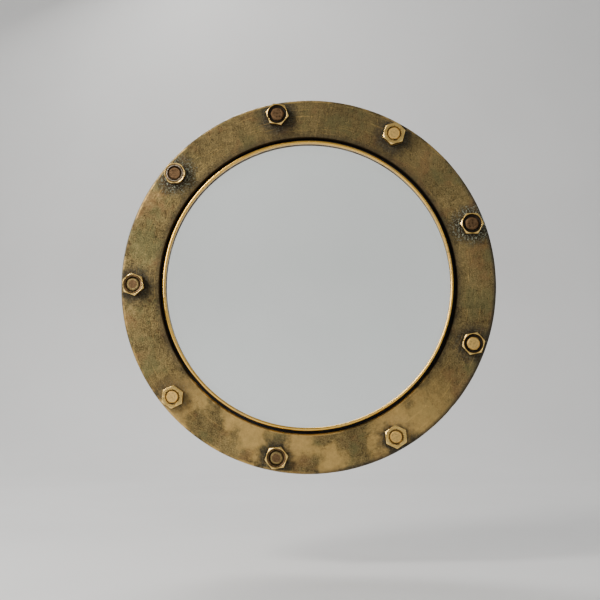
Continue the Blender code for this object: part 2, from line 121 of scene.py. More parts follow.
WASHER_R = 9 * MM
WASHER_T = 1.8 * MM
BACK_OFF = 2 * DOG_BOLT_PITCH  # how far the wing nuts stand off the forks at rest
ROUND = 240  # segments of the large rings
SMALL = 48  # segments of the small round pieces

# How each clamp nut has worn: its turn in degrees, its kind, and its stud's finish
NUTS = (
    (0, "dished", "brown"), (15, "flat", "bright"), (50, "dished", "brown"),
    (0, "rounded", "brown"), (40, "countersunk", "tawny"), (25, "flat", "bright"),
    (8, "countersunk", "tawny"), (35, "flat", "bright"), (11, "dished", "bright"),
)


# ---- shapes

def filleted(corners, steps=5, closed=True):
    """Profile points from (radius, y, fillet) corners."""
    points = []
    count = len(corners)
    for i, (r, y, fillet) in enumerate(corners):
        here = Vector((r, y))
        if fillet == 0 or (not closed and i in (0, count - 1)):
            points.append((r, y))
            continue
        back = Vector(corners[i - 1][:2]) - here
        ahead = Vector(corners[(i + 1) % count][:2]) - here
        half = back.angle(ahead) / 2
        reach = fillet / tan(half)
        start = here + back.normalized() * reach
        end = here + ahead.normalized() * reach
        centre = here + (back.normalized() + ahead.normalized()).normalized() * fillet / sin(half)
        first, last = start - centre, end - centre
        for k in range(steps + 1):
            along = first.lerp(last, k / steps).normalized() * fillet
            points.append(tuple(centre + along))
    return points


def neighbours(items, closed):
    """Each item with the next one, and the last with the first if closed."""
    return zip(items, items[1:] + items[:1] if closed else items[1:])


def finely(points, longest, closed=True):
    """The profile with its long stretches divided."""
    made = []
    for (r0, y0), (r1, y1) in neighbours(points, closed):
        parts = max(1, ceil(hypot(r1 - r0, y1 - y0) / longest))
        made += [(r0 + (r1 - r0) * k / parts, y0 + (y1 - y0) * k / parts) for k in range(parts)]
    return made if closed else made + [points[-1]]


def lathe(profile, segments=ROUND, closed=True):
    """A bmesh of the (radius, y) profile turned about Y."""
    shape = bmesh.new()
    turns = [2 * pi * i / segments for i in range(segments)]
    rings = []
    for r, y in profile:
        if r < TINY:
            rings.append([shape.verts.new((0, y, 0))] * segments)
        else:
            rings.append([shape.verts.new((r * cos(t), y, r * sin(t))) for t in turns])
    for low, high in neighbours(rings, closed):
        for i in range(segments):
            j = (i + 1) % segments
            corners = list(dict.fromkeys((low[i], low[j], high[j], high[i])))
            shape.faces.new(corners)
    bmesh.ops.recalc_face_normals(shape, faces=shape.faces)
    return shape


def turned_solid(corners, steps, segments=SMALL):
    """A bmesh turned about Y from (radius, y, fillet) corners that start and end on the axis."""
    return lathe(filleted(corners, steps, closed=False), segments, closed=False)


def plate(outline, low, high, bevel=0.0, segments=3):
    """A bmesh of an (x, y) outline between Z = low and Z = high, its edges rounded."""
    shape = bmesh.new()
    face = shape.faces.new([shape.verts.new((x, y, low)) for x, y in outline])
    raised = bmesh.ops.extrude_face_region(shape, geom=[face])["geom"]
    upper = [item for item in raised if isinstance(item, bmesh.types.BMVert)]
    bmesh.ops.translate(shape, verts=upper, vec=(0, 0, high - low))
    bmesh.ops.recalc_face_normals(shape, faces=shape.faces)
    if bevel:
        caps = [e for e in shape.edges if abs(e.verts[0].co.z - e.verts[1].co.z) < TINY]
        bmesh.ops.bevel(shape, geom=caps, offset=bevel, segments=segments, affect="EDGES", profile=0.5)
    return shape


def arc(centre, radius, start, end, steps):
    """Points of an arc, its angles in degrees."""
    turns = [radians(start + (end - start) * i / steps) for i in range(steps + 1)]
    return [(centre[0] + radius * cos(t), centre[1] + radius * sin(t)) for t in turns]


def at_angle(angle, radius, y):
    """A place on the ring: X outwards, Y along the axis, Z round the ring."""
    return Matrix.Rotation(-radians(angle), 4, "Y") @ Matrix.Translation((radius, y, 0))


def moved(shape, place):
    """The shape itself, after the move."""
    bmesh.ops.transform(shape, matrix=place, verts=shape.verts)
    return shape


def upright(shape):
    """Turns a shape made along Y to lie along Z."""
    return moved(shape, Matrix.Rotation(pi / 2, 4, "X"))


def merge(shapes):
    """One bmesh that holds several."""
    whole = bmesh.new()
    for shape in shapes:
        part = bpy.data.meshes.new("part")
        shape.to_mesh(part)
        shape.free()
        whole.from_mesh(part)
        bpy.data.meshes.remove(part)
    return whole


def rod(radius, low, high, fillet=0.0, segments=SMALL):
    """A solid rod along Y with rounded ends."""
    corners = [(0, low, 0), (radius, low, fillet), (radius, high, fillet), (0, high, 0)]
    return turned_solid(corners, 3, segments)


def show(name, data):
    """A new object in the scene."""
    obj = bpy.data.objects.new(name, data)
    bpy.context.scene.collection.objects.link(obj)
    return obj


def add(name, shape, finish=None, sharp=32):
    """A named object from a bmesh, shaded smooth where its faces meet below the sharp angle."""
    mesh = bpy.data.meshes.new(name)
    shape.to_mesh(mesh)
    shape.free()
    if finish:
        mesh.materials.append(finish)
    mesh.shade_smooth()
    mesh.set_sharp_from_angle(angle=radians(sharp))
    return show(name, mesh)


def combine(obj, shape, operation):
    """Applies an exact Boolean with a shape that is then thrown away."""
    other = add("tool", shape)
    modifier = obj.modifiers.new(operation, "BOOLEAN")
    modifier.operation = operation
    modifier.solver = "EXACT"
    modifier.object = other
    bpy.context.view_layer.update()
    graph = bpy.context.evaluated_depsgraph_get()
    made = bpy.data.meshes.new_from_object(obj.evaluated_get(graph))
    obj.modifiers.clear()
    old = obj.data
    obj.data = made
    bpy.data.meshes.remove(old)
    bpy.data.objects.remove(other)
    obj.data.set_sharp_from_angle(angle=radians(32))


def soften(obj, width, angle=35, segments=2):
    """Rounds the edges that are still sharp."""
    modifier = obj.modifiers.new("soft edges", "BEVEL")
    modifier.width = width
    modifier.segments = segments
    modifier.limit_method = "ANGLE"
    modifier.angle_limit = radians(angle)
    modifier.harden_normals = True


def threaded(radius, pitch, low, high, segments=32, fillet=0.0006):
    """A screw thread along Y: each point's depth depends on its place along the helix."""
    depth = 0.55 * pitch
    rows = ceil((high - low) / (pitch / 6))
    rings = []
    shape = bmesh.new()
    for k in range(rows + 1):
        y = low + (high - low) * k / rows
        end = min(y - low, high - y)
        ring = []
        for i in range(segments):
            phase = (y / pitch - i / segments) % 1
            groove = min(1.0, max(0.0, 1.6 * abs(2 * phase - 1) - 0.3))
            r = radius - depth * (1 - groove)
            r = min(r, radius - 1.2 * fillet + end)
            turn = 2 * pi * i / segments
            ring.append(shape.verts.new((r * cos(turn), y, r * sin(turn))))
        rings.append(ring)
    for a, b in zip(rings, rings[1:]):
        for i in range(segments):
            j = (i + 1) % segments
            shape.faces.new((a[i], a[j], b[j], b[i]))
    for ring, y in ((rings[0], low), (rings[-1], high)):
        middle = shape.verts.new((0, y, 0))
        for i in range(segments):
            shape.faces.new((ring[i], ring[(i + 1) % segments], middle))
    bmesh.ops.recalc_face_normals(shape, faces=shape.faces)
    return shape


def batter(shape, amount, size, seed):
    """Moves a shape's points inwards by a smooth random amount, as knocks and wear would."""
    offset = Vector((seed, seed * 0.37, seed * 0.71))
    shape.normal_update()
    for vert in shape.verts:
        value = noise.fractal(vert.co / size + offset, 0.9, 2.1, 3)
        vert.co -= vert.normal * amount * (0.5 + 0.5 * value)


def nick(shape, where, size, depth):
    """A knock that pushes nearby points in."""
    for vert in shape.verts:
        share = 1 - (vert.co - where).length / size
        if share > 0:
            vert.co -= vert.normal * depth * share


# ---- material nodes

class Nodes:
    """Short calls for a material's node tree."""

    def __init__(self, name):
        self.material = bpy.data.materials.new(name)
        self.material.use_nodes = True
        self.tree = self.material.node_tree
        self.shader = self.tree.nodes["Principled BSDF"]
        self.place = self.node("TexCoord").outputs["Object"]

    def link(self, value, socket):
        """Sets a number or colour on the socket, or joins another node's output to it."""
        if isinstance(value, (int, float)):
            socket.default_value = value
        elif isinstance(value, tuple):
            socket.default_value = (*value, 1)
        else:
            self.tree.links.new(value, socket)

    def node(self, kind, **inputs):
        """A new node with its inputs set or joined; they are named in lower case."""
        made = self.tree.nodes.new("ShaderNode" + kind)
        for name, value in inputs.items():
            self.link(value, made.inputs[name.replace("_", " ").title()])
        return made

    def math(self, operation, a, b=0.0, clamp=False):
        node = self.node("Math")
        node.operation = operation
        node.use_clamp = clamp
        self.link(a, node.inputs[0])
        self.link(b, node.inputs[1])
        return node.outputs[0]

    def times(self, a, b):
        return self.math("MULTIPLY", a, b)

    def plus(self, a, b):
        return self.math("ADD", a, b)

    def minus(self, a, b, clamp=False):
        return self.math("SUBTRACT", a, b, clamp)

    def larger(self, a, b):
        return self.math("MAXIMUM", a, b)

    def weighted(self, first, *others):
        """The sum of (value, weight) pairs."""
        total = self.times(*first)
        for pair in others:
            total = self.plus(total, self.times(*pair))
        return total

    def length(self, a, b):
        """The hypotenuse of a and b."""
        return self.math("SQRT", self.plus(self.times(a, a), self.times(b, b)))

    def noise(self, size, detail, roughness, where=None):
        """Cloudy values round 0.5, their patches about size metres across."""
        place = where or self.place
        node = self.node("TexNoise", vector=place, scale=1 / size, detail=detail, roughness=roughness)
        return node.outputs["Fac"]

    def cells(self, size):
        """How far each point is from the nearest of many scattered ones."""
        return self.node("TexVoronoi", vector=self.place, scale=1 / size).outputs["Distance"]

    def band(self, value, low, high, start=0.0, end=1.0):
        """start below low, end above high, and a smooth change between."""
        node = self.node("MapRange", value=value, from_min=low, from_max=high, to_min=start, to_max=end)
        node.interpolation_type = "SMOOTHSTEP"
        return node.outputs["Result"]

    def ramp(self, value, stops):
        """A colour read from (position, colour) stops."""
        node = self.node("ValToRGB", fac=value)
        points = node.color_ramp.elements
        while len(points) < len(stops):
            points.new(0.5)
        for point, (position, colour) in zip(points, stops):
            point.position = position
            point.color = (*colour, 1)
        return node.outputs["Color"]

    def mix(self, amount, a, b):
        """Colour a where amount is 0 and colour b where it is 1."""
        node = self.node("Mix")
        node.data_type = "RGBA"
        self.link(amount, node.inputs["Factor"])
        self.link(a, node.inputs[6])
        self.link(b, node.inputs[7])
        return node.outputs[2]

    def stretched(self, scale):
        """Coordinates for a noise of size 1 whose patches are 1 / scale metres along each axis."""
        node = self.node("Mapping", vector=self.place)
        node.inputs["Scale"].default_value = scale
        return node.outputs["Vector"]

    def join(self, x, y, z):
        return self.node("CombineXYZ", x=x, y=y, z=z).outputs[0]

    def polar(self):
        """(radius from the Y axis, angle in radians, place along Y)"""
        x, y, z = self.node("SeparateXYZ", vector=self.place).outputs
        return self.length(x, z), self.math("ARCTAN2", z, x), y

    def bump(self, height, distance, strength):
        node = self.node("Bump", height=height, distance=distance, strength=strength)
        return node.outputs["Normal"]

    def set(self, **values):
        """Joins values to the shader's sockets, named in lower case."""
        for name, value in values.items():
            self.link(value, self.shader.inputs[name.replace("_", " ").title()])


DARK = (0.014, 0.010, 0.005)
UMBER = (0.060, 0.041, 0.017)
OLIVE = (0.160, 0.118, 0.046)
OCHRE = (0.300, 0.215, 0.085)
GOLD = (0.720, 0.455, 0.130)
CREAM = (1.000, 0.690, 0.220)
BROWN = (0.170, 0.098, 0.048)
PALE = (0.520, 0.480, 0.400)
CRUST = (0.520, 0.550, 0.400)
RUST = (0.230, 0.115, 0.048)
MOSS = (0.125, 0.125, 0.050)
HONEY = (0.960, 0.570, 0.110)
STAIN_AND_SHADE = (0.045, 0.022, 0.012)
RUBBER = (0.008, 0.008, 0.009)
DUST = (0.050, 0.046, 0.040)
GLASS_CLEAN = (0.93, 0.97, 0.965)
GLASS_SMEARED = (0.90, 0.955, 0.945)
PAPER = (0.74, 0.735, 0.725)
PALE_PAPER = (0.78, 0.775, 0.765)


def scratches(nodes, radius, angle):
    """Fine lines, some round the ring and some across it."""
    round_ring = nodes.join(nodes.times(radius, 900), nodes.times(angle, 4), 0.0)
    first = nodes.band(nodes.noise(1, 3, 0.65, round_ring), 0.60, 0.68)
    across = nodes.stretched((1300, 1300, 60))
    second = nodes.band(nodes.noise(1, 2, 0.6, across), 0.66, 0.74)
    return nodes.larger(first, second)


def patina(nodes):
    """The castings' olive-brown colour with reddish and greenish areas, and its two finer noises."""
    broad = nodes.noise(0.050, 4, 0.55)
    fine = nodes.noise(0.0060, 6, 0.75)
    grain = nodes.noise(0.0014, 3, 0.8)
    streaks = nodes.noise(1, 4, 0.6, nodes.stretched((560, 200, 70)))
    mottle = nodes.weighted((broad, 0.20), (fine, 0.24), (grain, 0.46), (streaks, 0.10))
    stops = [(0.34, DARK), (0.425, UMBER), (0.50, OLIVE), (0.585, OCHRE), (0.70, GOLD)]
    colour = nodes.ramp(mottle, stops)
    reddish = nodes.band(nodes.noise(0.022, 4, 0.65), 0.50, 0.66, 0.0, 0.35)
    colour = nodes.mix(reddish, colour, RUST)
    greenish = nodes.band(nodes.noise(0.031, 4, 0.65), 0.50, 0.64, 0.0, 0.45)
    return nodes.mix(greenish, colour, MOSS), fine, grain


def from_nearest_bolt(nodes, radius, angle):
    """How far a point is from the nearest of the ring of clamp bolts, with a ragged edge added."""
    step = 2 * pi / len(NUTS)
    wrapped = nodes.math("WRAP", nodes.minus(angle, radians(FIRST_BOLT_ANGLE)), step / 2)
    wrapped.node.inputs[2].default_value = -step / 2
    along = nodes.minus(nodes.times(radius, nodes.math("COSINE", wrapped)), BOLT_CIRCLE_R)
    aside = nodes.times(radius, nodes.math("SINE", wrapped))
    return nodes.plus(nodes.length(along, aside), nodes.times(nodes.noise(0.012, 5, 0.7), 0.016))


def facing(nodes, angle, middle, low, high):
    """1 where the angle round the ring is near the middle, in degrees, and 0 well away from it."""
    return nodes.band(nodes.math("COSINE", nodes.minus(angle, radians(middle))), low, high)


def weathered_brass():
    """The castings: patina with pits, scratches, bare edges that are partly a painted highlight, crust
    near two of the nuts, and painted shade.
    """
    nodes = Nodes("weathered_brass")
    radius, angle, _ = nodes.polar()
    colour, fine, grain = patina(nodes)
    # Painted shade: the upper side of the ring is darkened towards umber.
    upper_side_shade = nodes.band(nodes.math("SINE", angle), 0.55, 0.90, 0.0, 0.35)
    colour = nodes.mix(upper_side_shade, colour, UMBER)

    ragged = from_nearest_bolt(nodes, radius, angle)
    # Painted shade round each nut, partly grime: darker near the bolts.
    shade_and_grime = nodes.band(ragged, 0.019, 0.036, 0.86, 0.0)
    colour = nodes.mix(shade_and_grime, colour, DARK)

    lines = scratches(nodes, radius, angle)
    colour = nodes.mix(nodes.times(lines, 0.22), colour, GOLD)
    pits = nodes.band(nodes.cells(0.0036), 0.08, 0.22, 1.0, 0.0)
    sparse = nodes.band(nodes.noise(0.018, 3, 0.6), 0.48, 0.60)
    pits = nodes.times(pits, sparse)
    colour = nodes.mix(nodes.times(pits, 0.85), colour, DARK)
    flecks = nodes.band(nodes.noise(0.0055, 6, 0.8), 0.56, 0.62)
    flecks = nodes.times(flecks, nodes.band(nodes.noise(0.036, 4, 0.6), 0.49, 0.60))
    colour = nodes.mix(nodes.times(flecks, 0.75), colour, UMBER)

    low_side = nodes.band(nodes.math("SINE", angle), -0.85, -0.45, 1.0, 0.0)
    not_low = nodes.minus(1.0, low_side)
    # Painted reflection: the lower side is made brighter in patches, mixed as bare worn metal.
    rubbed_and_lit = nodes.times(low_side, nodes.band(nodes.noise(0.040, 4, 0.6), 0.42, 0.58, 0.0, 0.75))
    colour = nodes.mix(rubbed_and_lit, colour, nodes.mix(fine, OCHRE, GOLD))
    # Painted shade: darker near the opening, except on the lower side.
    ragged_radius = nodes.plus(radius, nodes.times(nodes.noise(0.010, 4, 0.7), 0.008))
    shade = nodes.band(ragged_radius, OPENING_R + 0.002, OPENING_R + 0.015, 0.70, 0.0)
    shade = nodes.times(shade, not_low)
    colour = nodes.mix(shade, colour, DARK)
    # Painted shade on the opening's chamfer, except on the lower side.
    chamfer = nodes.band(radius, OPENING_R + 0.0006, OPENING_R + 0.0018, 0.95, 0.0)
    colour = nodes.mix(nodes.times(chamfer, not_low), colour, DARK)

    # The right of the ring is taken as its shaded side: there the rim gets painted shade and no painted
    # edge highlight.
    shaded_side = facing(nodes, angle, -25, 0.20, 0.70)
    rim = nodes.band(radius, FLANGE_R - 0.0060, FLANGE_R - 0.0010)
    # Painted highlight with some wear: the outer edge away from the shaded side and the inner edge on
    # the lower side are mixed towards gold and made smoother.
    outer = nodes.band(radius, FLANGE_R - 0.0036, FLANGE_R - 0.0014)
    outer = nodes.times(outer, nodes.minus(1.0, shaded_side))
    inner = nodes.band(radius, OPENING_R + 0.0006, OPENING_R + 0.0030, 1.0, 0.0)
    inner = nodes.times(inner, low_side)
    worn = nodes.larger(nodes.times(outer, 0.6), inner)
    patchy = nodes.band(nodes.noise(0.024, 5, 0.65), 0.42, 0.58)
    edge = nodes.times(worn, patchy)
    colour = nodes.mix(nodes.times(edge, 0.85), colour, GOLD)
    # Painted shade on the rim of the shaded side.
    rim_shade = nodes.times(nodes.times(shaded_side, rim), 0.75)
    colour = nodes.mix(rim_shade, colour, DARK)
    # Painted highlight: a pale line on the outer lip that faces the upper left.
    lip = nodes.band(radius, FLANGE_R - 0.0017, FLANGE_R - 0.0007)
    pale = nodes.times(lip, facing(nodes, angle, 135, 0.55, 0.85))
    pale = nodes.times(pale, nodes.band(fine, 0.35, 0.6, 0.3, 0.9))
    colour = nodes.mix(pale, colour, PALE)

    near = nodes.band(ragged, 0.019, 0.034, 1.0, 0.0)
    first_nut = facing(nodes, angle, FIRST_BOLT_ANGLE, 0.93, 0.98)
    fourth_nut = facing(nodes, angle, FIRST_BOLT_ANGLE + 120, 0.93, 0.98)
    where = nodes.larger(nodes.larger(first_nut, fourth_nut), 0.12)
    flakes = nodes.band(nodes.noise(0.0020, 5, 0.8), 0.52, 0.58)
    crust = nodes.times(nodes.times(near, flakes), where)
    colour = nodes.mix(nodes.times(crust, 0.9), colour, CRUST)

    # Crust, and the painted shade round the nuts, near the opening and on the shaded rim, are made less
    # metallic and rougher.
    matt = nodes.larger(crust, nodes.times(shade_and_grime, 0.5))
    matt = nodes.larger(matt, nodes.times(shade, 0.5))
    matt = nodes.larger(matt, rim_shade)
    roughness = nodes.plus(nodes.band(fine, 0.35, 0.65, 0.64, 0.44), nodes.times(matt, 0.25))
    roughness = nodes.minus(roughness, nodes.times(edge, 0.12), clamp=True)
    height = nodes.weighted(
        (fine, 0.5), (pits, -0.7), (grain, 0.35), (flecks, -0.25), (crust, 0.9), (lines, -0.10))
    nodes.set(
        base_color=colour,
        metallic=nodes.minus(0.90, nodes.times(matt, 0.7), clamp=True),
        roughness=roughness,
        normal=nodes.bump(height, 0.0006, 0.9),
    )
    return nodes.material


def nut_brass(name, face, rim_r, hollow_r, lime=0.0):
    """A nut: bright on its worn outer rim, partly a painted highlight, brown on the face, black in the
    hollow.

    lime is the radius of a ring of pale scale, if it has one.
    """
    nodes = Nodes(name)
    radius, _, y = nodes.polar()
    patches = nodes.noise(0.0065, 6, 0.7)
    fine = nodes.noise(0.0011, 5, 0.75)
    both = nodes.weighted((patches, 0.6), (fine, 0.4))
    colour = nodes.ramp(both, [(0.36, DARK), (0.45, UMBER), (0.56, face)])
    bright = nodes.ramp(both, [(0.34, OCHRE), (0.44, GOLD), (0.58, CREAM)])
    # The outer rim is bright: wear, and a painted highlight.
    rim = nodes.band(radius, rim_r - 0.0004, rim_r + 0.0002)
    front = nodes.band(y, NUT[0].y + 0.0022, NUT[0].y + 0.0034, 1.0, 0.0)
    rubbed_and_lit = nodes.times(rim, front)
    colour = nodes.mix(rubbed_and_lit, colour, bright)
    if lime:
        off_ring = nodes.math("ABSOLUTE", nodes.minus(radius, lime))
        crest = nodes.band(off_ring, 0.0003, 0.0007, 0.7, 0.0)
        colour = nodes.mix(nodes.times(crest, nodes.band(fine, 0.40, 0.60)), colour, PALE)
    # Darker, less metallic and rougher in the hollow and towards the foot.
    hollow = nodes.band(radius, hollow_r - 0.0005, hollow_r + 0.0003, 1.0, 0.0)
    foot = nodes.band(y, NUT[1].y - 0.0060, NUT[1].y - 0.0005)
    dark_hollow_and_foot = nodes.larger(nodes.times(hollow, 0.92), nodes.times(foot, 0.75))
    colour = nodes.mix(dark_hollow_and_foot, colour, DARK)
    roughness = nodes.minus(nodes.band(both, 0.36, 0.6, 0.60, 0.40), nodes.times(rubbed_and_lit, 0.24))
    nodes.set(
        base_color=colour,
        metallic=nodes.minus(1.0, nodes.times(dark_hollow_and_foot, 0.5)),
        roughness=nodes.plus(roughness, nodes.times(dark_hollow_and_foot, 0.2)),
        normal=nodes.bump(nodes.plus(patches, nodes.times(fine, 0.5)), 0.00025, 0.8),
    )
    return nodes.material


def worn_brass(name, bright, dull, polish, wear_size):
    """Handled brass: bare metal with brown tarnish in patches."""
    nodes = Nodes(name)
    patches = nodes.noise(wear_size, 6, 0.7)
    fine = nodes.noise(0.0012, 5, 0.7)
    both = nodes.weighted((patches, 0.6), (fine, 0.4))
    colour = nodes.ramp(both, [(0.36, UMBER), (0.46, dull), (0.58, bright)])
    tarnish = nodes.band(both, 0.36, 0.56, 1.0, 0.0)
    brushed = nodes.noise(1, 3, 0.6, nodes.stretched((2500, 300, 300)))
    nodes.set(
        base_color=colour,
        metallic=nodes.minus(1.0, nodes.times(tarnish, 0.25)),
        roughness=nodes.plus(nodes.times(tarnish, 0.35), polish),
        normal=nodes.bump(nodes.weighted((fine, 0.7), (brushed, 0.3)), 0.00012, 0.6),
    )
    return nodes.material


def stud_brass(name, pitted, middle, edge):
    """A clamp bolt: its thread end is pitted in the middle and worn brighter round the edge, partly a
    painted highlight.
    """
    nodes = Nodes(name)
    radius, _, y = nodes.polar()
    patches = nodes.noise(0.0030, 5, 0.75)
    fine = nodes.noise(0.0007, 4, 0.75)
    both = nodes.weighted((patches, 0.6), (fine, 0.4))
    # The edge of the thread end is brighter: wear, and a painted highlight.
    rubbed_and_lit = nodes.band(nodes.plus(radius, nodes.times(patches, 0.002)), 0.0050, 0.0062)
    centre = nodes.ramp(both, [(0.38, pitted), (0.56, middle)])
    ring = nodes.ramp(both, [(0.36, pitted), (0.46, edge)])
    colour = nodes.mix(rubbed_and_lit, centre, ring)
    buried = nodes.band(y, BOLT[0].y + 0.0016, BOLT[0].y + 0.0030)
    threads = nodes.times(buried, nodes.band(y, PLAIN_START, PLAIN_START + 0.002, 1.0, 0.0))
    colour = nodes.mix(nodes.times(threads, 0.6), colour, UMBER)
    nodes.set(
        base_color=colour,
        metallic=nodes.minus(1.0, nodes.times(threads, 0.3)),
        roughness=nodes.band(both, 0.38, 0.58, 0.66, 0.42),
        normal=nodes.bump(both, 0.00035, 0.9),
    )
    return nodes.material


def leaf_brass():
    """The leaf: its bead is polished bright and the rest is satin, with the stretch behind the bead
    painted dark brown, as tarnish and painted shade.
    """
    nodes = Nodes("leaf_brass")
    radius, angle, y = nodes.polar()
    bead = nodes.band(y, -0.0115, -0.0095, 1.0, 0.0)
    patches = nodes.noise(0.028, 6, 0.7)
    fine = nodes.noise(0.0022, 5, 0.7)
    both = nodes.weighted((patches, 0.6), (fine, 0.4))
    satin = nodes.ramp(both, [(0.34, UMBER), (0.46, OCHRE), (0.60, GOLD)])
    bright = nodes.ramp(both, [(0.32, OCHRE), (0.40, GOLD), (0.50, HONEY)])
    colour = nodes.mix(bead, satin, bright)
    # Painted shade with tarnish: the leaf behind the bead is dark brown, less metallic and rougher.
    well = nodes.band(y, -0.0105, -0.0085)
    inside = nodes.times(well, nodes.band(y, 0.0075, 0.0085, 1.0, 0.0))
    colour = nodes.mix(nodes.times(inside, 0.85), colour, STAIN_AND_SHADE)
    rings = nodes.join(nodes.times(radius, 6000), nodes.times(y, 6000), angle)
    turned = nodes.noise(1, 2, 0.5, rings)
    roughness = nodes.plus(nodes.band(both, 0.38, 0.6, 0.46, 0.24), nodes.times(inside, 0.3))
    nodes.set(
        base_color=colour,
        metallic=nodes.minus(1.0, nodes.times(inside, 0.6)),
        roughness=nodes.minus(roughness, nodes.times(bead, 0.12)),
        normal=nodes.bump(nodes.plus(nodes.times(turned, 0.4), fine), 0.00010, 0.6),
    )
    return nodes.material


def black_rubber():
    """Gaskets and the seal: matt black with a little dust."""
    nodes = Nodes("black_rubber")
    grain = nodes.noise(0.0007, 4, 0.7)
    dust = nodes.band(nodes.noise(0.016, 5, 0.7), 0.50, 0.72, 0.0, 0.5)
    nodes.set(
        base_color=nodes.mix(dust, RUBBER, DUST),
        roughness=nodes.band(grain, 0.3, 0.7, 0.60, 0.82),
        normal=nodes.bump(grain, 0.00015, 0.7),
    )
    return nodes.material


def clear_glass():
    """Clear toughened glass with faint smears, and salt where it meets its ring."""
    nodes = Nodes("clear_glass")
    radius, _, _ = nodes.polar()
    smears = nodes.noise(1, 4, 0.6, nodes.stretched((9, 60, 26)))
    salt = nodes.band(nodes.noise(0.004, 6, 0.8), 0.52, 0.64)
    salt = nodes.times(salt, nodes.band(radius, 0.128, 0.153))
    roughness = nodes.plus(nodes.band(smears, 0.45, 0.75, 0.0, 0.05), nodes.times(salt, 0.12))
    tint = nodes.mix(nodes.band(smears, 0.3, 0.8), GLASS_CLEAN, GLASS_SMEARED)
    nodes.set(base_color=tint, roughness=roughness)
    nodes.shader.inputs["Transmission Weight"].default_value = 1.0
    nodes.shader.inputs["IOR"].default_value = 1.5
    return nodes.material


# ---- fixed pieces

def place(piece, body, slot_name, *replaced):
    """The piece rides on a body and stands in for CAD nodes; slot_name is not used."""
    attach(piece, body)
    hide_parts(*replaced)


def bolt_place(i):
    """Where a clamp bolt's axis crosses the flange's back face."""
    return at_angle(FIRST_BOLT_ANGLE + BOLT_SPACING * i, BOLT_CIRCLE_R, 0)


def bolt_holes(low, high):
    """Cutters for the ring of bolt holes."""
    holes = []
    for i in range(len(NUTS)):
        holes.append(moved(rod(BOLT_HOLE_R, low - PAST, high + PAST), bolt_place(i)))
    return merge(holes)


def dog_pivot(angle):
    """The middle of a dog's pivot pin."""
    return at_angle(angle, DOG_PIVOT_R, DOG_PIVOT_Y)


def hinge_lug_outline():
    """A lug rooted in the barrel's end and rounded about the hinge pin."""
    root, foot, step = HINGE.x - 20 * MM, 28 * MM, 33.5 * MM
    rounded = arc((HINGE.x, HINGE.y), 8.4 * MM, 146, -40, 20)
    return [(root, foot), (root, step), (root + 3.5 * MM, step)] + rounded + [(HINGE.x - 2 * MM, foot)]


def dog_lug_outline():
    """A lug about the middle of a dog's pivot pin, rooted in the barrel's wall."""
    root, foot = -10 * MM, -6.5 * MM
    outline = [(root, foot), (root, 1 * MM), (-6.2 * MM, 2 * MM)]
    return outline + arc((0, 0), 6.4 * MM, 140, -60, 20) + [(1 * MM, foot)]


def frame_lugs():
    """The two hinge lugs, and two lugs astride each swing bolt's eye."""
    thick, dog_thick = 8 * MM, 6 * MM
    near, dog_near = 26 * MM, EYE_HALF + GAP
    lugs = []
    for low in (near, -near - thick):
        lugs.append(plate(hinge_lug_outline(), low, low + thick, 0.9 * MM))
    for angle in DOG_ANGLES.values():
        for low in (dog_near, -dog_near - dog_thick):
            lug = plate(dog_lug_outline(), low, low + dog_thick, 0.8 * MM)
            lugs.append(moved(lug, dog_pivot(angle)))
    return merge(lugs)


def hinge_place():
    """The middle of the hinge's axis."""
    return Matrix.Translation((HINGE.x, HINGE.y, 0))


def lug_bores():
    """Cutters for the holes that the hinge pin and the pivot pins go through."""
    reach, dog_reach = 36 * MM, 13 * MM
    bores = [moved(upright(rod(HINGE_PIN_R + GAP, -reach, reach)), hinge_place())]
    for angle in DOG_ANGLES.values():
        bores.append(moved(upright(rod(DOG_PIN_R + GAP, -dog_reach, dog_reach)), dog_pivot(angle)))
    return merge(bores)


def main_frame(finish):
    """The flange and barrel as one casting, with its bolt holes, lugs and bores."""
    face, outer = FLANGE_FACE + SHRINK, FLANGE_R
    corners = [
        (OPENING_R, 0, 0.0004), (OPENING_R, face + 0.0013, 0.0003), (OPENING_R + 0.0013, face, 0.0004),
        (outer, face, 0.0032), (outer, -SHRINK, 0.0008), (BARREL_OUTER_R, -SHRINK, 0),
        (BARREL_OUTER_R, BARREL_END, 0.0006), (BARREL_R, BARREL_END, 0.0006), (BARREL_R, 0, 0),
    ]
    shape = lathe(finely(filleted(corners, 7), 0.0035), ROUND)
    batter(shape, 0.00018, 0.016, 3.1)
    nick(shape, at_angle(320, FLANGE_R, face).translation, 4.5 * MM, 0.9 * MM)
    piece = add("frame_casting", shape, finish)
    combine(piece, bolt_holes(FLANGE_FACE, 0), "DIFFERENCE")
    combine(piece, frame_lugs(), "UNION")
    combine(piece, lug_bores(), "DIFFERENCE")
    place(piece, "frame", "weathered_brass", "main_frame")


def clamp_ring(finish):
    """The inboard ring that the clamp bolts pull against the cabin side."""
    low, high = CLAMP[0].y, CLAMP[1].y
    inner, outer = CLAMP_BORE_R, CLAMP[1].x - SHRINK
    corners = [(inner, low, 0.0004), (outer, low, 0.0004), (outer, high, 0.0014), (inner, high, 0.0012)]
    shape = lathe(finely(filleted(corners), 0.004), ROUND)
    batter(shape, 0.00012, 0.018, 7.7)
    piece = add("inboard_clamp_ring", shape, finish)
    combine(piece, bolt_holes(low, high), "DIFFERENCE")
    place(piece, "frame", "weathered_brass", "clamp_ring")


def soft_ring(name, finish, inner, box, body, node, bulge=0.0004, holes=False):
    """A rubber ring with rounded corners, in the space of its CAD solid."""
    low, high, outer = box[0].y, box[1].y, box[1].x - SHRINK
    corners = [(inner, low, bulge), (outer, low, bulge), (outer, high, bulge), (inner, high, bulge)]
    piece = add(name, lathe(filleted(corners, 4), ROUND), finish)
    if holes:
        combine(piece, bolt_holes(low, high), "DIFFERENCE")
    place(piece, body, "black_rubber", node)


def hex_radius(angle, flats):
    """How far a hexagon's side is from its middle."""
    around = (angle + pi / 6) % (pi / 3) - pi / 6
    return flats / 2 / cos(around)


